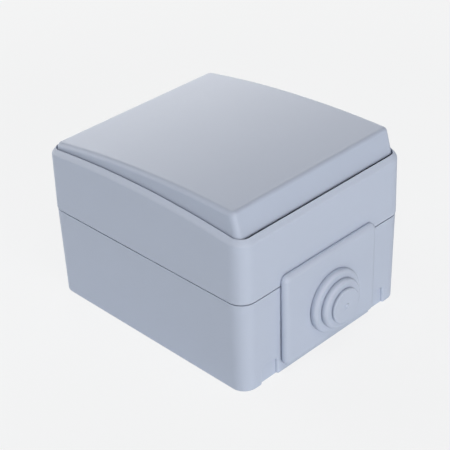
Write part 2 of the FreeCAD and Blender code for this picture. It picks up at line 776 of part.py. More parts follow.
def plunger():
    body = new_body("plunger")
    profile = sketch_on(body, "XZ_Plane")
    nose = dim.plunger_radius
    bow = nose * (1 - math.sqrt(0.5))
    outline(profile, [(0, plunger_tip, bow), (nose, plunger_tip + nose),
                      (nose, plunger_top), (0, plunger_top)])
    revolve(body, profile, "V_Axis")
    tilt_about_pivot(body, pivot_height, -dim.rocker_tilt)


def plunger_spring():
    """A flat-wire coil between the plunger and the top of its bore."""
    body = new_body("plunger_spring")
    outer = dim.plunger_radius - dim.spring_wire / 2
    profile = sketch_on(body, "XZ_Plane")
    rectangle(profile, outer - dim.spring_wire, plunger_top, outer, plunger_top + dim.spring_wire)
    coil = body.newObject("PartDesign::AdditiveHelix", "Coil")
    coil.Profile = profile
    coil.ReferenceAxis = (profile, ["V_Axis"])
    coil.Mode = "height-turns-angle"
    bind(coil, "Height", dim.bore_top - dim.spring_wire - plunger_top)
    bind(coil, "Turns", dim.spring_turns)
    doc.recompute()
    tilt_about_pivot(body, pivot_height, -dim.rocker_tilt)


# Support plate under the switch insert
def support_plate():
    body = new_body("support_plate")
    length = dim.insert_front + insert_rear + 2 * dim.support_overlap
    middle = (0, (insert_rear - dim.insert_front) / 2)
    plate = sketch_on(body, "XY_Plane", dim.support_height)
    rounded_rectangle(plate, cavity_width - 2 * dim.support_margin, length, dim.corner_radius, middle)
    circles(plate, plate_posts, hole_radius)
    opening_length = dim.insert_front + insert_rear + 2 * dim.insert_clearance
    rounded_rectangle(plate, 2 * (dim.insert_half_width + dim.insert_clearance), opening_length,
                      dim.insert_clearance, middle)
    pad(body, plate, dim.support_thickness)


# Switch insert: moulded body, and a lid with the bearing ears
def mechanism_body():
    body = new_body("mechanism_body")
    half = dim.insert_half_width
    case = sketch_on(body, "XY_Plane", dim.insert_low)
    rectangle(case, -half, -dim.insert_front, half, insert_rear)
    pad(body, case, dim.insert_high - dim.insert_low)
    flange = sketch_on(body, "XY_Plane", support_top)
    wide = half + dim.insert_flange
    rectangle(flange, -wide, -dim.insert_front - dim.insert_flange, wide, insert_rear + dim.insert_flange)
    pad(body, flange, dim.insert_flange_height)
    cavity = sketch_on(body, "XY_Plane", dim.insert_high)
    inner = half - dim.insert_wall
    rectangle(cavity, -inner, dim.insert_wall - dim.insert_front, inner, insert_rear - dim.insert_wall)
    pocket(body, cavity, dim.insert_high - strip_low)
    wires = sketch_on(body, "XZ_Plane", dim.insert_front)
    wire_level = strip_top + dim.wire_height
    circles(wires, [(-dim.terminal_offset, wire_level), (dim.terminal_offset, wire_level)],
            dim.wire_radius + dim.insert_clearance)
    pocket(body, wires, 2 * dim.insert_wall)


def mechanism_lid():
    body = new_body("mechanism_lid")
    plate = sketch_on(body, "XY_Plane", dim.insert_high)
    half = dim.insert_half_width
    rectangle(plate, -half, -dim.insert_front, half, insert_rear)
    circles(plate, terminal_places, dim.terminal_head_radius + dim.insert_clearance)
    swing = dim.stem_radius + (pivot_height - dim.insert_high) * slope(dim.rocker_tilt) + dim.stem_clearance
    slot = dim.stem_radius + dim.stem_clearance
    rectangle(plate, -slot, -swing, slot, swing)
    pad(body, plate, dim.lid_thickness)
    for side in (-1, 1):
        ear = sketch_on(body, "YZ_Plane", side * (ear_inner + ear_outer) / 2)
        shoulder = dim.ear_half_width
        rectangle(ear, -shoulder, dim.insert_high + dim.lid_thickness / 2,
                  shoulder, pivot_height + dim.ear_margin)
        pad(body, ear, dim.ear_thickness, symmetric=True)
    bearing = sketch_on(body, "YZ_Plane")
    circles(bearing, [(0, pivot_height)], dim.trunnion_radius + dim.running_clearance)
    pocket(body, bearing, symmetric=True)


# Contacts and terminals
arm_angle = arc_angle(dim.blade_rise, blade_length)


def moving_contact():
    """A shallow V with a round notch that seesaws on the knife's nose, modelled round its pivot."""
    body = new_body("moving_contact")
    blade = sketch_on(body, "YZ_Plane")
    far, rise, thick = blade_length, dim.blade_rise, dim.blade_thickness
    notch = dim.knife_nose + dim.contact_gap
    notch_half = notch * cosine(arm_angle)
    notch_low = notch * sine(arm_angle)
    outline(blade, [(-notch_half, notch_low, notch_low - notch), (notch_half, notch_low), (far, rise),
                    (far, rise + thick), (0, thick), (-far, rise + thick), (-far, rise)])
    pad(body, blade, dim.blade_width, symmetric=True)
    tilt_about_pivot(body, dim.contact_pivot, dim.contact_tilt)


def moving_contact_tip():
    body = new_body("moving_contact_tip")
    face = sketch_on(body, "XY_Plane", dim.tip_offset * dim.blade_rise / blade_length, (0, dim.tip_offset))
    turn = FreeCAD.Rotation(Vector(1, 0, 0), 1)
    face.AttachmentOffset = FreeCAD.Placement(face.AttachmentOffset.Base, turn)
    face.setExpression("AttachmentOffset.Rotation.Angle", f"{arm_angle.text} * 1 deg")
    circles(face, [(0, 0)], dim.tip_radius)
    pad(body, face, dim.tip_height, reverse=True)
    tilt_about_pivot(body, dim.contact_pivot, dim.contact_tilt)


def fixed_tip_top():
    """The height that the moving tip's lowest edge reaches when closed, less the contact gap."""
    closed = arm_angle - dim.contact_tilt
    reach = dim.tip_offset / cosine(arm_angle) - dim.tip_radius
    return dim.contact_pivot + reach * sine(closed) - dim.tip_height * cosine(closed) - dim.contact_gap


def fixed_contact_tip():
    body = new_body("fixed_contact_tip")
    head = sketch_on(body, "XY_Plane", fixed_tip_top())
    circles(head, [(0, dim.tip_offset)], dim.tip_radius)
    pad(body, head, dim.tip_height, reverse=True)


def common_terminal():
    body = new_body("common_terminal")
    half = dim.strip_width / 2
    inner = half - dim.terminal_offset
    outer = -half - dim.terminal_offset
    foot = sketch_on(body, "XY_Plane", strip_low)
    front = -terminal_front - half
    outline(foot, [(outer, front), (inner, front), (inner, -half),
                   (half, -half), (half, half), (outer, half)])
    pad(body, foot, dim.strip_thickness)
    post = sketch_on(body, "YZ_Plane")
    thick, nose = dim.knife_half_width, dim.knife_nose
    top = dim.contact_pivot
    outline(post, [(-thick, strip_low), (thick, strip_low), (thick, top - 2 * thick), (nose, top),
                   (-nose, top), (-thick, top - 2 * thick)])
    pad(body, post, dim.strip_width, symmetric=True)
    edge = sketch_on(body, "YZ_Plane")
    circles(edge, [(0, top)], nose)
    pad(body, edge, dim.strip_width, symmetric=True)


def switched_terminal():
    body = new_body("switched_terminal")
    half = dim.strip_width / 2
    inner = dim.terminal_offset - half
    outer = dim.terminal_offset + half
    front = -terminal_front - half
    near = dim.tip_offset - half
    far = dim.tip_offset + half
    foot = sketch_on(body, "XY_Plane", strip_low)
    outline(foot, [(inner, front), (outer, front), (outer, far), (-half, far), (-half, near), (inner, near)])
    pad(body, foot, dim.strip_thickness)
    shelf_top = fixed_tip_top() - dim.tip_height
    shelf_low = shelf_top - dim.strip_thickness
    upright = sketch_on(body, "YZ_Plane")
    web = far - dim.strip_thickness
    outline(upright, [(web, strip_low), (far, strip_low), (far, shelf_top),
                      (near, shelf_top), (near, shelf_low),
                      (web, shelf_low)])
    pad(body, upright, dim.strip_width, symmetric=True)


def terminal_clamps():
    clamps = []
    half = dim.clamp_size / 2
    for x, y in terminal_places:
        cage = block((x - half, y - half, strip_top), (x + half, y + half, strip_top + dim.clamp_height))
        wire = cylinder((x, y - half, strip_top + dim.wire_height),
                        dim.wire_radius, dim.clamp_size, along_y=True)
        thread = cylinder((x, y, strip_top + dim.wire_height), hole_radius, dim.clamp_height)
        clamps.append(cut(cage, [wire, thread]))
    group("terminal_clamps", clamps)


def terminal_screws():
    seat = strip_top + dim.clamp_height + dim.terminal_head_lift
    length = seat - strip_top - dim.wire_height - dim.wire_radius / 2
    group("terminal_screws", [screw(place, seat, dim.terminal_head_radius, length)
                              for place in terminal_places])


def plate_screws():
    group("plate_screws", [screw(place, support_top, dim.head_radius, dim.plate_screw_length)
                           for place in plate_posts])


def cover_screws():
    seat = dim.tray_height + dim.screw_seal_height
    group("cover_screws", [screw(place, seat, dim.head_radius, dim.cover_screw_length)
                           for place in cover_posts])


for build in (base_box, front_cover, cover_gasket, window_seal, screw_seals, cable_grommet,
              rocker, dolly, plunger, plunger_spring, support_plate, mechanism_body, mechanism_lid,
              moving_contact, moving_contact_tip, fixed_contact_tip, common_terminal, switched_terminal,
              terminal_clamps, terminal_screws, plate_screws, cover_screws):
    build()
doc.recompute()

for item in doc.Objects:
    if "Invalid" in item.State or "Error" in item.State:
        raise RuntimeError(f"{item.Label} failed: {item.State}")
for piece in pieces:
    if piece.Shape.isNull() or not piece.Shape.isValid() or not piece.Shape.Solids:
        raise RuntimeError(f"{piece.Label} has no valid solid")

os.makedirs("parts", exist_ok=True)
for piece in pieces:
    piece.Shape.exportStep(f"parts/{piece.Label}.step")
    print(f"{piece.Label}: {len(piece.Shape.Solids)} solids, {piece.Shape.Volume:.1f} mm3")
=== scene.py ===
# %% [markdown]
# # An outdoor weatherproof switch
# The object is a surface-mounted light switch for wet places: a wall box, a front cover with an arched
# rim, one large rocker and a stepped cable grommet, all in the same blue-grey plastic. The solids come
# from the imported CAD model, so this lesson is about what CAD leaves out: soft moulded edges, finishes,
# small fasteners, light and the camera.

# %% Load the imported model
import json
import math

import bmesh
import bpy
from mathutils import Matrix, Vector


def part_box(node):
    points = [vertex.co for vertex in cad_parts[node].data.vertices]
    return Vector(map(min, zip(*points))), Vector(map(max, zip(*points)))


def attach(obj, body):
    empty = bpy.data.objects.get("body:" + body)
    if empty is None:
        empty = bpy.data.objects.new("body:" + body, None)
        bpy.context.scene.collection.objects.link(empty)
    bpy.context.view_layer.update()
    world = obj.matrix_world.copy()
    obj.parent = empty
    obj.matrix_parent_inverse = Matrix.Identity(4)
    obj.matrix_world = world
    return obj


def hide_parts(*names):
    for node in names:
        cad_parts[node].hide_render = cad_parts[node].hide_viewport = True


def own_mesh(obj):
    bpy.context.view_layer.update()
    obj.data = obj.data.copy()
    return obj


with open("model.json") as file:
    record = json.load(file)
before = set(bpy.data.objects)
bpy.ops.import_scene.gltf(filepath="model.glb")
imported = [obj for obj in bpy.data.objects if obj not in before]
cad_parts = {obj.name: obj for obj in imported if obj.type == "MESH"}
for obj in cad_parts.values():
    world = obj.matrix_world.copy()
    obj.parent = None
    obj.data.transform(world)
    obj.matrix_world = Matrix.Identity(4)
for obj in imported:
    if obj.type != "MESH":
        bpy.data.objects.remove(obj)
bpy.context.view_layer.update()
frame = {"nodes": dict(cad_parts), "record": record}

MM = 0.001
slot_of = {part["node"]: part["material_slot"] for part in frame["record"]["subparts"]}

# %% [markdown]
# ## Node trees as Python
# Finishes need sums such as 0.4 + 0.1 * noise. They could be wired up one Math node at a time, but then
# the formula is lost among the links. Instead a small class wraps a socket and turns the operators into
# Math nodes, and one method of the tree adds any other node. A formula then reads as a formula, and the
# same two classes serve finishes and Geometry Nodes.

# %% A socket that does maths, and a tree that makes nodes
class Wire:
    """An output socket in a tree. Arithmetic on it adds Math nodes."""

    def __init__(self, tree, socket):
        self.tree = tree
        self.socket = socket

    def maths(self, operation, first, second):
        return self.tree.node("ShaderNodeMath", {"operation": operation}, {0: first, 1: second})

    def __add__(self, other):
        return self.maths("ADD", self, other)

    def __sub__(self, other):
        return self.maths("SUBTRACT", self, other)

    def __rsub__(self, other):
        return self.maths("SUBTRACT", other, self)

    def __mul__(self, other):
        return self.maths("MULTIPLY", self, other)

    def __truediv__(self, other):
        return self.maths("DIVIDE", self, other)

    def __rtruediv__(self, other):
        return self.maths("DIVIDE", other, self)

    __radd__ = __add__
    __rmul__ = __mul__

    def at_most(self, other):
        return self.maths("MINIMUM", self, other)

    def at_least(self, other):
        return self.maths("MAXIMUM", self, other)

    def other(self, name):
        """Another output of the same node."""
        return Wire(self.tree, self.socket.node.outputs[name])


class Tree:
    """A node tree with the one method that adds a node to it."""

    def __init__(self, nodes):
        self.nodes = nodes

    def node(self, kind, settings=None, sockets=None, output=0):
        """Adds a node: its settings, then the value, link or list of links of each socket."""
        made = self.nodes.nodes.new(kind)
        for name, value in (settings or {}).items():
            setattr(made, name, value)
        for name, value in (sockets or {}).items():
            for entry in value if isinstance(value, list) else [value]:
                if isinstance(entry, Wire):
                    self.nodes.links.new(entry.socket, made.inputs[name])
                else:
                    made.inputs[name].default_value = entry
        return Wire(self, made.outputs[output]) if made.outputs else None


print("node helpers ready")

# %% [markdown]
# ## Moulded plastic
# The box, cover and rocker are injection moulded in one light blue-grey, with a satin surface from a
# finely eroded mould. A flat colour would look like a preview. Here a broad noise varies the colour by
# about one percent, as pigment does, and a fine noise gives the satin grain as a small bump and as a
# change in roughness. The rocker's mould is a little smoother, so the rocker is glossier; its colour is
# set a little darker and bluer. All noise reads Object coordinates, so it stays on the part when it
# moves.

# %% Finishes of moulded plastic and rubber
class Finish(Tree):
    """One material."""

    def __init__(self, name):
        self.material = bpy.data.materials.new(name)
        self.material.use_nodes = True
        self.material.node_tree.nodes.clear()
        super().__init__(self.material.node_tree)

    def noise(self, grain, detail=2.0):
        """Noise from 0 to 1 whose grain is about that many metres across."""
        place = self.node("ShaderNodeTexCoord", output="Object")
        return self.node("ShaderNodeTexNoise", {}, {
            "Vector": place, "Scale": 1 / grain, "Detail": detail})

    def between(self, dark, light, share):
        """A colour between two."""
        return self.node("ShaderNodeMix", {"data_type": "RGBA"}, {0: share, 6: dark, 7: light}, output=2)

    def surface(self, sockets):
        """Ends the tree in one Principled surface."""
        shader = self.node("ShaderNodeBsdfPrincipled", {}, sockets)
        self.node("ShaderNodeOutputMaterial", {}, {"Surface": shader})
        return self.material


def tinted(colour, share):
    """A colour made lighter or darker by a share, with full alpha."""
    return tuple(channel * (1 + share) for channel in colour) + (1.0,)


PIGMENT_GRAIN = 14 * MM
RELIEF, RELIEF_STRENGTH = 0.02 * MM, 0.25
SATIN_SPREAD = 0.04


def moulded(name, colour, roughness, grain=0.35 * MM, mottle=0.012):
    finish = Finish(name)
    cloud = finish.noise(PIGMENT_GRAIN)
    pores = finish.noise(grain)
    bump = finish.node("ShaderNodeBump", {}, {
        "Strength": RELIEF_STRENGTH, "Distance": RELIEF, "Height": pores})
    return finish.surface({
        "Base Color": finish.between(tinted(colour, -mottle), tinted(colour, mottle), cloud),
        "Roughness": roughness - SATIN_SPREAD + 2 * SATIN_SPREAD * pores,
        "Normal": bump})


SHELL_COLOUR = (0.468, 0.512, 0.612)
ROCKER_COLOUR = (0.431, 0.477, 0.579)
finishes = {
    "housing_plastic": moulded("housing_plastic", SHELL_COLOUR, 0.6),
    "rocker_plastic": moulded("rocker_plastic", ROCKER_COLOUR, 0.53),
    "grommet_rubber": moulded("grommet_rubber", SHELL_COLOUR, 0.62, grain=0.5 * MM),
    "seal_rubber": moulded("seal_rubber", (0.03, 0.03, 0.034), 0.6, mottle=0.05),
    "insert_plastic": moulded("insert_plastic", (0.78, 0.77, 0.73), 0.45),
    "dolly_plastic": moulded("dolly_plastic", (0.72, 0.72, 0.70), 0.4),
    "plunger_plastic": moulded("plunger_plastic", (0.80, 0.80, 0.78), 0.35),
}
print("moulded finishes:", ", ".join(finishes))

# %% [markdown]
# ## Plated and bare metal
# The screws and the support plate are zinc plated, the strips are brass and the contact rivets silver.
# Metal shows its finish in its reflections, so here the fine noise goes into roughness, and a broader
# one shifts the colour a little, as plating and handling do.

# %% Finishes of metal
PLATING_GRAIN, SCRATCH_GRAIN = 2.5 * MM, 0.25 * MM
DULL_SHARE, BRIGHT_SHARE = -0.06, 0.04
SCRATCH_SPREAD = 0.12


def plated(name, colour, roughness):
    finish = Finish(name)
    cloud = finish.noise(PLATING_GRAIN)
    scratches = finish.noise(SCRATCH_GRAIN, detail=4.0)
    return finish.surface({
        "Base Color": finish.between(tinted(colour, DULL_SHARE), tinted(colour, BRIGHT_SHARE), cloud),
        "Metallic": 1.0,
        "Roughness": roughness + SCRATCH_SPREAD * scratches})


finishes.update({
    "screw_steel": plated("screw_steel", (0.62, 0.62, 0.60), 0.28),
    "plate_steel": plated("plate_steel", (0.60, 0.61, 0.60), 0.34),
    "spring_steel": plated("spring_steel", (0.50, 0.50, 0.50), 0.25),
    "contact_brass": plated("contact_brass", (0.72, 0.52, 0.25), 0.26),
    "contact_silver": plated("contact_silver", (0.80, 0.80, 0.78), 0.24),
})
for node, solid in frame["nodes"].items():
    solid.data.materials.clear()
    solid.data.materials.append(finishes[slot_of[node]])
print("finishes:", len(finishes), "on", len(slot_of), "nodes")

# %% [markdown]
# ## Soft edges on the moulded shells
# A CAD edge is perfectly sharp, and a sharp edge never catches light. On a moulded part every edge has a
# small radius. The edges could be rounded by hand, but the Bevel modifier rounds every edge that has a
# weight, and here the weight follows the edge's angle: the rim's shallow outer edge is softer than its
# lip. The modifier needs a joined mesh, so each CAD copy is merged and its flat triangles are dissolved.
# Its guard against overlaps would shrink all edges to suit the narrowest one, so it is off, and the box's
# edges at the wall, which nobody sees, stay sharp instead.

# %% Softened copies of the three shells
SHARP, SHALLOW = math.radians(36), math.radians(45)
SAME_PLACE, SAME_PLANE = 0.001 * MM, math.radians(0.3)
BEVEL_STEPS = 3


def stands_for(piece, node, body):
    """A piece moves with a body and is shown instead of its CAD node."""
    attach(piece, body)
    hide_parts(node)
    print(piece.name, len(piece.data.polygons), "faces")


def applied(piece):
    """Turns a piece's modifiers into a plain mesh."""
    seen = piece.evaluated_get(bpy.context.evaluated_depsgraph_get())
    done = bpy.data.meshes.new_from_object(seen)
    piece.modifiers.clear()
    piece.data = done


def merged(node):
    """An editable copy of a CAD mesh, with its triangles joined into faces."""
    form = bmesh.new()
    form.from_mesh(frame["nodes"][node].data)
    bmesh.ops.remove_doubles(form, verts=form.verts, dist=SAME_PLACE)
    bmesh.ops.dissolve_limit(form, angle_limit=SAME_PLANE, verts=form.verts, edges=form.edges)
    return form


def soft_piece(form, node, prefix="soft_"):
    """An object with the mesh and the node's finish."""
    mesh = bpy.data.meshes.new(prefix + node)
    form.to_mesh(mesh)
    form.free()
    mesh.materials.append(finishes[slot_of[node]])
    piece = bpy.data.objects.new(mesh.name, mesh)
    bpy.context.collection.objects.link(piece)
    return piece


def softened(node, body, shallow_width, crisp_width, above=0.0):
    """A shell with rounded edges above a height: one width for shallow edges, one for the others."""
    form = merged(node)
    weight = form.edges.layers.float.new("bevel_weight_edge")
    for edge in form.edges:
        angle = edge.calc_face_angle()
        if angle > SHARP and min(end.co.z for end in edge.verts) > above:
            edge[weight] = 1.0 if angle < SHALLOW else crisp_width / shallow_width
    piece = soft_piece(form, node)
    piece.data.shade_smooth()
    rounding = piece.modifiers.new("edge_radius", "BEVEL")
    rounding.width = shallow_width
    rounding.segments = BEVEL_STEPS
    rounding.limit_method = "WEIGHT"
    rounding.use_clamp_overlap = False
    piece.modifiers.new("flat_faces_stay_flat", "WEIGHTED_NORMAL")
    applied(piece)
    stands_for(piece, node, body)


softened("base_box", "housing", 0.05 * MM, 0.05 * MM, above=1.0 * MM)
softened("front_cover", "housing", 0.4 * MM, 0.22 * MM)
softened("rocker", "rocker_unit", 0.15 * MM, 0.1 * MM)

# %% [markdown]
# ## The cable grommet
# The cable enters through a soft rubber plate with three steps, and the fitter cuts off those that are
# too narrow for the cable. Each lip is round and stands on a narrow groove, which draws a fine dark line.
# Spin could turn the steps but not the plate, so both are stacked from loops of points: one function
# gives a lip's inset and height at each loop, and quads join neighbouring loops. The neck inside the box
# stays as CAD made it. One Boolean joins it and the lips into one skin without hidden faces, and another
# hollows the steps to a thin membrane, which the fitter's knife can cut.

# %% Lips stacked from loops
ARC_STEPS = 6
ROUND_STEPS = 96


def lip(base, top, edge, groove=0.35 * MM):
    """The inset and height of each loop of a lip: a groove at its base, then a round edge."""
    profile = [(groove, base - groove), (groove, base), (0.0, base + groove)]
    for step in range(ARC_STEPS + 1):
        turn = math.radians(90 * step / ARC_STEPS)
        profile.append((edge * (1 - math.cos(turn)), top - edge * (1 - math.sin(turn))))
    return profile


def arc(centre_x, centre_z, radius, first, last, steps):
    """Points on an arc, with both ends."""
    turns = [math.radians(first + (last - first) * step / steps) for step in range(steps + 1)]
    return [(centre_x + radius * math.cos(turn), centre_z + radius * math.sin(turn)) for turn in turns]


def stacked(form, outline, profile, wall):
    """Draws an outline at each inset and height, joins the loops by quads and closes both ends."""
    rows = [[form.verts.new((x, wall - height, z)) for x, z in outline(inset)]
            for inset, height in profile]
    for row, beyond in zip(rows, rows[1:]):
        for i in range(len(row)):
            form.faces.new((row[i - 1], row[i], beyond[i], beyond[i - 1]))
    form.faces.new(rows[0])
    form.faces.new(rows[-1])


print("lips have", len(lip(0.0, 2.0 * MM, 1.0 * MM)), "loops")

# %% The sizes of the plate and its three steps
ENTRY_HEIGHT = 14.6 * MM
PLATE_CORNER = 1.8 * MM
PLATE_PROUD, PLATE_EDGE = 1.9 * MM, 1.4 * MM
# Radius, top and edge radius of each step.
STEPS = [(8.5 * MM, 3.8 * MM, 0.9 * MM),
         (6.65 * MM, 5.5 * MM, 0.9 * MM),
         (4.7 * MM, 6.5 * MM, 0.35 * MM)]
PIP_RADIUS, PIP_TOP = 0.75 * MM, 6.8 * MM
# Inset and height of each loop of the ring-shaped pip, which marks the centre.
PIP = [(0.0, 6.4 * MM), (0.0, 6.62 * MM), (0.12 * MM, 6.77 * MM), (0.25 * MM, PIP_TOP),
       (0.38 * MM, 6.72 * MM), (0.5 * MM, 6.58 * MM), (0.7 * MM, 6.51 * MM)]
MEMBRANE = 1.3 * MM
NECK_CLEARANCE = 0.05 * MM
CUT_CLEARANCE = 0.02 * MM
grommet_low, grommet_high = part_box("cable_grommet")
wall = grommet_low.y + PIP_TOP


def plate_outline(inset):
    """A rectangle with round corners, drawn in by an inset."""
    points = []
    for first, side, height in ((0, 1, 1), (90, -1, 1), (180, -1, -1), (270, 1, -1)):
        x = (grommet_high.x - PLATE_CORNER) * side
        z = grommet_high.z - PLATE_CORNER if height > 0 else grommet_low.z + PLATE_CORNER
        points += arc(x, z, PLATE_CORNER - inset, first, first + 90, ARC_STEPS)
    return points


def round_outline(radius):
    """A function that gives a circle of this radius, drawn in by an inset."""
    return lambda inset: arc(0.0, ENTRY_HEIGHT, radius - inset, 0, 360, ROUND_STEPS)[:-1]


print("plate and", len(STEPS), "steps, reaching", round(PIP_TOP / MM, 1), "mm from the wall")

# %% The neck, the lips and the hollow
form = merged("cable_grommet")
cut = bmesh.ops.bisect_plane(
    form, geom=form.verts[:] + form.edges[:] + form.faces[:], clear_inner=True,
    plane_co=(0, wall + CUT_CLEARANCE, 0), plane_no=(0, 1, 0))
rim = [part for part in cut["geom_cut"] if isinstance(part, bmesh.types.BMEdge)]
bmesh.ops.triangle_fill(form, edges=rim)
grommet = soft_piece(form, "cable_grommet")

form = bmesh.new()
stacked(form, plate_outline, lip(0.0, PLATE_PROUD, PLATE_EDGE), wall)
base = PLATE_PROUD
for radius, top, edge in STEPS:
    stacked(form, round_outline(radius), lip(base, top, edge), wall)
    base = top
stacked(form, round_outline(PIP_RADIUS), PIP, wall)
bmesh.ops.recalc_face_normals(form, faces=form.faces)
lips = soft_piece(form, "cable_grommet", "lips_of_")

form = bmesh.new()
widest = STEPS[0][0]
start = -PLATE_PROUD
inside = []
for radius, top, edge in STEPS:
    inset = widest - radius + MEMBRANE + NECK_CLEARANCE
    inside += [(inset, start), (inset, top - MEMBRANE)]
    start = top - MEMBRANE
stacked(form, round_outline(widest), inside, wall)
bmesh.ops.recalc_face_normals(form, faces=form.faces)
hollow = soft_piece(form, "cable_grommet", "hollow_of_")
print("faces:", {part.name: len(part.data.polygons) for part in (grommet, lips, hollow)})

# %% One skin
for operation, other in (("UNION", lips), ("DIFFERENCE", hollow)):
    joined = grommet.modifiers.new("one_skin", "BOOLEAN")
    joined.operation = operation
    joined.solver = "EXACT"
    joined.use_self = True
    joined.object = other
applied(grommet)
for other in (lips, hollow):
    bpy.data.objects.remove(other)
grommet.data.shade_smooth()
grommet.data.set_sharp_from_angle(angle=SHARP)
grommet.modifiers.new("flat_faces_stay_flat", "WEIGHTED_NORMAL").keep_sharp = True
applied(grommet)
stands_for(grommet, "cable_grommet", "housing")

# %% [markdown]
# ## Recipes for small parts
# Screws and a spring repeat or follow a path, so Geometry Nodes make them. A recipe here is a node tree
# with named sizes. The sizes are set by the sockets' identifiers before the tree is first evaluated, and
# the result becomes a plain mesh, because an export drops instances.

# %% A recipe with named sizes
class Recipe(Tree):
    """A Geometry Nodes tree with named sizes and one material."""

    KINDS = {float: "NodeSocketFloat", tuple: "NodeSocketVector"}

    def __init__(self, node, sizes):
        super().__init__(bpy.data.node_groups.new(node, "GeometryNodeTree"))
        self.made_for = node
        self.values = dict(sizes, Material=finishes[slot_of[node]])
        self.identifiers = {}
        sockets = self.nodes.interface
        sockets.new_socket("Geometry", in_out="OUTPUT", socket_type="NodeSocketGeometry")
        for label, value in self.values.items():
            kind = self.KINDS.get(type(value), "NodeSocketMaterial")
            made = sockets.new_socket(label, in_out="INPUT", socket_type=kind)
            self.identifiers[label] = made.identifier
        self.given = self.nodes.nodes.new("NodeGroupInput")

    def size(self, label):
        return Wire(self, self.given.outputs[label])

    def point(self, x=0.0, y=0.0, z=0.0):
        return self.node("ShaderNodeCombineXYZ", {}, {0: x, 1: y, 2: z})

    def moved(self, geometry, to, turn=(0.0, 0.0, 0.0)):
        return self.node("GeometryNodeTransform", {}, {
            "Geometry": geometry, "Translation": to, "Rotation": turn})

    def coil(self, turns, radius, height):
        return self.node("GeometryNodeCurveSpiral", {}, {
            "Resolution": 20, "Rotations": turns, "Start Radius": radius, "End Radius": radius,
            "Height": height})

    def round_wire(self, path, radius, sides):
        """Round wire along a path, with closed ends."""
        section = self.node("GeometryNodeCurvePrimitiveCircle", {}, {
            "Resolution": sides, "Radius": radius})
        return self.node("GeometryNodeCurveToMesh", {}, {
            "Curve": path, "Profile Curve": section, "Fill Caps": True})

    def finished(self, geometry, body):
        """Ends the tree and makes its result one plain mesh that stands for the CAD node."""
        real = self.node("GeometryNodeRealizeInstances", {}, {"Geometry": geometry})
        dressed = self.node("GeometryNodeSetMaterial", {}, {
            "Geometry": real, "Material": self.size("Material")})
        self.node("NodeGroupOutput", {}, {"Geometry": dressed})
        piece = bpy.data.objects.new("made_" + self.made_for, bpy.data.meshes.new(self.made_for))
        bpy.context.collection.objects.link(piece)
        recipe = piece.modifiers.new("recipe", "NODES")
        recipe.node_group = self.nodes
        for label, value in self.values.items():
            recipe[self.identifiers[label]] = value
        applied(piece)
        stands_for(piece, self.made_for, body)
        return piece


print("recipes ready")

# %% [markdown]
# ## Screws
# Three pairs of cross-drive screws hold the cover, the mechanism and the wires. Each could be modelled
# once and copied by hand. A recipe is shorter and keeps them alike: the pan head is a disc drawn in
# towards its top, a Boolean cuts the cross, the thread is wire on a spiral, and the two ends of a line
# carry the pair.

# %% The three pairs of screws
HEAD_HEIGHT = 2.0 * MM
HEAD_SIDES, CORE_SIDES, THREAD_SIDES = 32, 24, 6
# The straight share of the head's height, and the width of its top as a share of the whole.
STRAIGHT_SHARE, TOP_SHARE = 0.5, 0.75
CROSS_SHARE = 1.2
# One slot is a little shallower, so the floors of the cross don't coincide.
SHALLOWER = 0.95
# The threaded share of the shank, and the share of it that lies above the thread's lower end.
THREAD_SHARE, THREAD_END = 0.85, 0.95


def screw_pair(node, head_radius):
    low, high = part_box(node)
    seat = high.z - HEAD_HEIGHT
    r = Recipe(node, {
        "Head radius": head_radius, "Head height": HEAD_HEIGHT, "Crest radius": 1.5 * MM,
        "Thread depth": 0.3 * MM, "Pitch": 0.8 * MM, "Length": seat - low.z,
        "Cross width": 0.9 * MM, "Cross depth": 1.1 * MM,
        "First place": (low.x + head_radius, high.y - head_radius, seat),
        "Last place": (high.x - head_radius, low.y + head_radius, seat)})
    height, length, radius = r.size("Head height"), r.size("Length"), r.size("Head radius")
    side = STRAIGHT_SHARE * height
    disc = r.node("GeometryNodeMeshCylinder", {}, {
        "Vertices": HEAD_SIDES, "Radius": radius, "Depth": side})
    raised = r.node("GeometryNodeExtrudeMesh", {}, {
        "Mesh": disc, "Selection": disc.other("Top"), "Offset Scale": height - side,
        "Individual": False})
    drawn = r.node("GeometryNodeScaleElements", {}, {
        "Geometry": raised, "Selection": raised.other("Top"), "Scale": TOP_SHARE})
    head = r.moved(drawn, r.point(z=0.5 * side))
    core_radius = r.size("Crest radius") - r.size("Thread depth")
    core = r.node("GeometryNodeMeshCylinder", {}, {
        "Vertices": CORE_SIDES, "Radius": core_radius, "Depth": length + side})
    core = r.moved(core, r.point(z=0.5 * (side - length)))
    body = r.node("GeometryNodeMeshBoolean", {"operation": "UNION"}, {"Mesh 2": [head, core]})
    reach, width, depth = CROSS_SHARE * radius, r.size("Cross width"), 2.0 * r.size("Cross depth")
    slots = [r.moved(r.node("GeometryNodeMeshCube", {}, {"Size": size}), r.point(z=height))
             for size in (r.point(reach, width, depth), r.point(width, reach, SHALLOWER * depth))]
    screw = r.node("GeometryNodeMeshBoolean", {"operation": "DIFFERENCE"}, {
        "Mesh 1": body, "Mesh 2": slots})
    flank = 0.5 * r.size("Thread depth")
    threaded = THREAD_SHARE * length
    spiral = r.coil(threaded / r.size("Pitch"), r.size("Crest radius") - flank, threaded)
    thread = r.moved(r.round_wire(spiral, flank, THREAD_SIDES), r.point(z=-THREAD_END * length))
    whole = r.node("GeometryNodeJoinGeometry", {}, {"Geometry": [screw, thread]})
    pair = r.node("GeometryNodeMeshLine", {"mode": "END_POINTS"}, {
        "Count": 2, "Start Location": r.size("First place"), "Offset": r.size("Last place")})
    placed = r.node("GeometryNodeInstanceOnPoints", {}, {"Points": pair, "Instance": whole})
    r.finished(placed, "housing")


screw_pair("cover_screws", 2.8 * MM)
screw_pair("plate_screws", 2.8 * MM)
screw_pair("terminal_screws", 2.4 * MM)
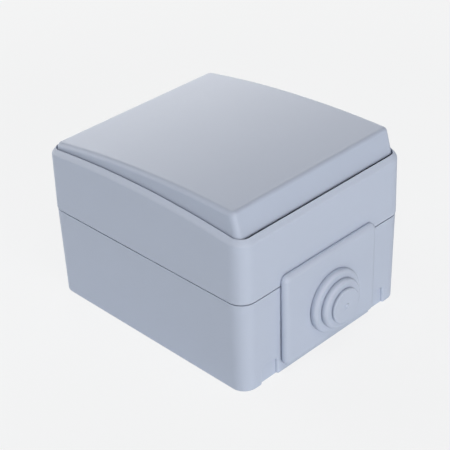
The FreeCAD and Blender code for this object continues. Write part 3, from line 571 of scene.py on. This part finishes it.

# %% [markdown]
# ## The plunger's spring
# A small compression spring pushes the plunger on to the contact. In CAD it is a plain coil. A real one
# is round wire, and its first and last turns lie flat so that it stands square. The coil's height is
# therefore a formula: it climbs one wire at each end and the rest in between. The spring shortens as the
# plunger slides in, but this one keeps its rest length and moves with the rocker unit.

# %% A round-wire spring with closed ends
PIVOT = Vector((0, 0, 38 * MM))
TILT = math.radians(4.1)
PLUNGER_AXIS = Vector((0, math.sin(TILT), math.cos(TILT)))
SPRING_LOW, SPRING_HIGH = -6.0 * MM, 1.0 * MM
WIRE_SIDES = 10

r = Recipe("plunger_spring", {
    "Coil radius": 1.5 * MM, "Wire radius": 0.25 * MM, "Turns": 6.5,
    "Length": SPRING_HIGH - SPRING_LOW,
    "Place": tuple(PIVOT + PLUNGER_AXIS * SPRING_LOW), "Turn": (-TILT, 0.0, 0.0)})
wire = r.size("Wire radius")
path = r.coil(r.size("Turns"), r.size("Coil radius"), r.size("Length"))
along = r.node("GeometryNodeSplineParameter", output="Factor")
closed = 1.0 / r.size("Turns")
rest_turn = along.at_most(closed) / closed + (along - (1.0 - closed)).at_least(0.0) / closed
climb = ((along - closed) / (1.0 - 2.0 * closed)).at_least(0.0).at_most(1.0)
height = wire + 2.0 * wire * rest_turn + (r.size("Length") - 6.0 * wire) * climb
flat = r.node("ShaderNodeSeparateXYZ", {}, {0: r.node("GeometryNodeInputPosition")})
wound = r.node("GeometryNodeSetPosition", {}, {
    "Geometry": path, "Position": r.point(flat, flat.other("Y"), height)})
coil = r.moved(r.round_wire(wound, wire, WIRE_SIDES), r.size("Place"), r.size("Turn"))
spring = r.finished(coil, "rocker_unit")
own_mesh(spring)

# %% [markdown]
# ## Light
# The photograph is a plain product shot: the right side is brightest, the left side is in soft shade and
# the rocker darkens towards the camera. One large lamp overhead would light all sides alike. Here a low
# panel in front lights the walls, two low panels behind give the rocker its satin sheen, and a high one
# fills in. Each is placed by its direction from the object, and its strength is a share of the plain
# level at which a colour renders as it is written. The camera doesn't see the panels themselves.

# %% Soft panels
TARGET = Vector((0, 0, 22 * MM))
PANEL_SIZE, PANEL_DISTANCE = 0.86, 1.2


def direction(azimuth, elevation):
    """From the object towards a camera or lamp: azimuth 0 is -Y and 90 is +X."""
    turn, lift = math.radians(azimuth), math.radians(elevation)
    return Vector((math.sin(turn) * math.cos(lift), -math.cos(turn) * math.cos(lift), math.sin(lift)))


def panel(name, azimuth, elevation, share):
    """A square lamp that faces the object and that the camera doesn't see."""
    lamp = bpy.data.lights.new(name, "AREA")
    lamp.size = PANEL_SIZE
    lamp.energy = share * (math.pi * PANEL_DISTANCE) ** 2
    item = bpy.data.objects.new(name, lamp)
    item.location = TARGET + direction(azimuth, elevation) * PANEL_DISTANCE
    item.rotation_euler = direction(azimuth, elevation).to_track_quat("Z", "Y").to_euler()
    item.visible_camera = False
    bpy.context.collection.objects.link(item)
    print(name, "at", azimuth, elevation, "degrees, share", share)


panel("right_back_panel", 137, 10, 0.66)
panel("left_back_panel", -160, 10, 0.73)
panel("front_panel", -19, 5, 0.985)
panel("high_panel", -30, 62, 0.407)

# %% [markdown]
# ## Backdrop
# The photograph's background is an even, very pale grey. More light would wash out the object, so the
# world and the floor show that grey by themselves to the camera, to reflections and through glass, with
# the help of Light Path. Every other ray meets a dim world and plain paint. Around the object the floor
# also shows a share of that paint, so the box stands in its own soft shadow, and this share fades out
# before it reaches the panels.

# %% One backdrop for the world and the floor
WORLD_LEVEL = 0.01
BACKDROP = (0.925, 0.925, 0.925, 1.0)
COOL_PAINT = (0.865, 0.92, 0.965, 1.0)
SHADOW_SHARE = 0.1
FADE_FROM, FADE_OVER = 0.15, 0.25


def shows_backdrop(tree):
    """1 for rays that show the backdrop, and 0 for rays that carry light."""
    ray = tree.node("ShaderNodeLightPath", output="Is Camera Ray")
    return ray.at_least(ray.other("Is Glossy Ray")).at_least(ray.other("Is Transmission Ray"))


world = bpy.data.worlds.new("studio")
world.use_nodes = True
world.node_tree.nodes.clear()
sky = Tree(world.node_tree)
level = WORLD_LEVEL + (1 - WORLD_LEVEL) * shows_backdrop(sky)
sky.node("ShaderNodeOutputWorld", {}, {
    "Surface": sky.node("ShaderNodeBackground", {}, {"Color": BACKDROP, "Strength": level})})
bpy.context.scene.world = world

finish = Finish("pale_floor")
paint = finish.node("ShaderNodeBsdfDiffuse", {}, {"Color": COOL_PAINT})
glow = finish.node("ShaderNodeEmission", {}, {"Color": BACKDROP, "Strength": 1.0})
place = finish.node("ShaderNodeTexCoord", output="Object")
away = finish.node("ShaderNodeVectorMath", {"operation": "LENGTH"}, {0: place}, output="Value")
fade = ((away - FADE_FROM) / FADE_OVER).at_least(0.0).at_most(1.0)
share = shows_backdrop(finish) * (1 - SHADOW_SHARE * (1 - fade))
finish.node("ShaderNodeOutputMaterial", {}, {
    "Surface": finish.node("ShaderNodeMixShader", {}, {0: share, 1: paint, 2: glow})})

HALF = 4.0
corners = [(-HALF, -HALF, 0), (HALF, -HALF, 0), (HALF, HALF, 0), (-HALF, HALF, 0)]
mesh = bpy.data.meshes.new("floor")
mesh.from_pydata(corners, [], [(0, 1, 2, 3)])
mesh.materials.append(finish.material)
floor = bpy.data.objects.new("floor", mesh)
bpy.context.collection.objects.link(floor)
print("floor side:", 2 * HALF, "m, backdrop grey:", BACKDROP[0])

# %% [markdown]
# ## Camera
# The photograph was taken from above the near left corner with a long lens, slightly rolled. The angles,
# distance and focal length come from fitting the box's edges to the photograph.

# %% The camera
IMAGE_SIDE = 450
VIEW_AZIMUTH, VIEW_ELEVATION, VIEW_ROLL = -44.002, 32.147, -2.276
VIEW_DISTANCE = 337.407 * MM
FOCAL_PIXELS = 1293.77
AIM_SHIFT = (-0.033 * MM, -1.229 * MM)

camera = bpy.data.objects.new("camera", bpy.data.cameras.new("camera"))
back = direction(VIEW_AZIMUTH, VIEW_ELEVATION)
level = Vector((-back.y, back.x, 0)).normalized()
right = Matrix.Rotation(math.radians(VIEW_ROLL), 3, back) @ level
up = back.cross(right)
aim = TARGET + AIM_SHIFT[0] * right + AIM_SHIFT[1] * up
turned = Matrix((right, up, back)).transposed().to_4x4()
camera.matrix_world = Matrix.Translation(aim + back * VIEW_DISTANCE) @ turned
camera.data.sensor_width = 36.0
camera.data.lens = camera.data.sensor_width * FOCAL_PIXELS / IMAGE_SIDE
camera.data.clip_start = 10 * MM
bpy.context.collection.objects.link(camera)
bpy.context.scene.camera = camera
bpy.context.scene.view_settings.view_transform = "Standard"
print("lens:", round(camera.data.lens, 1), "mm")
